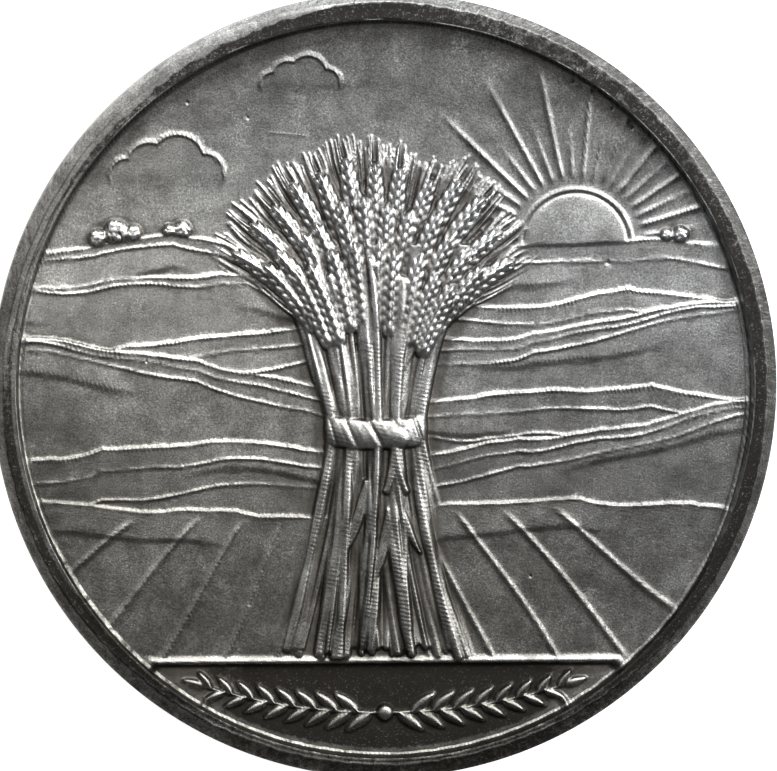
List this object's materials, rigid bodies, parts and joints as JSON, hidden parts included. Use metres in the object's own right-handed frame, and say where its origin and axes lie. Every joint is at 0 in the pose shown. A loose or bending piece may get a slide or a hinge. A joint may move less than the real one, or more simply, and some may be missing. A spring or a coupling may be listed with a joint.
{
  "type": "commemorative medal",
  "caption": "Round struck silver commemorative medal with a raised rim, a wheat sheaf, hills, a rising sun and laurel in relief on the front, and a plain back.",
  "frame": {"origin": "centre of the underside: the middle of the circle on which the back rim rests", "axes": "+Z out of the front face, +Y towards the top of the relief picture, +X towards its right"},
  "size_m": [0.05, 0.05, 0.004],
  "materials": {
    "silver": "toned satin silver"
  },
  "bodies": {
    "root": {"medal": "silver"}
  },
  "joints": []
}
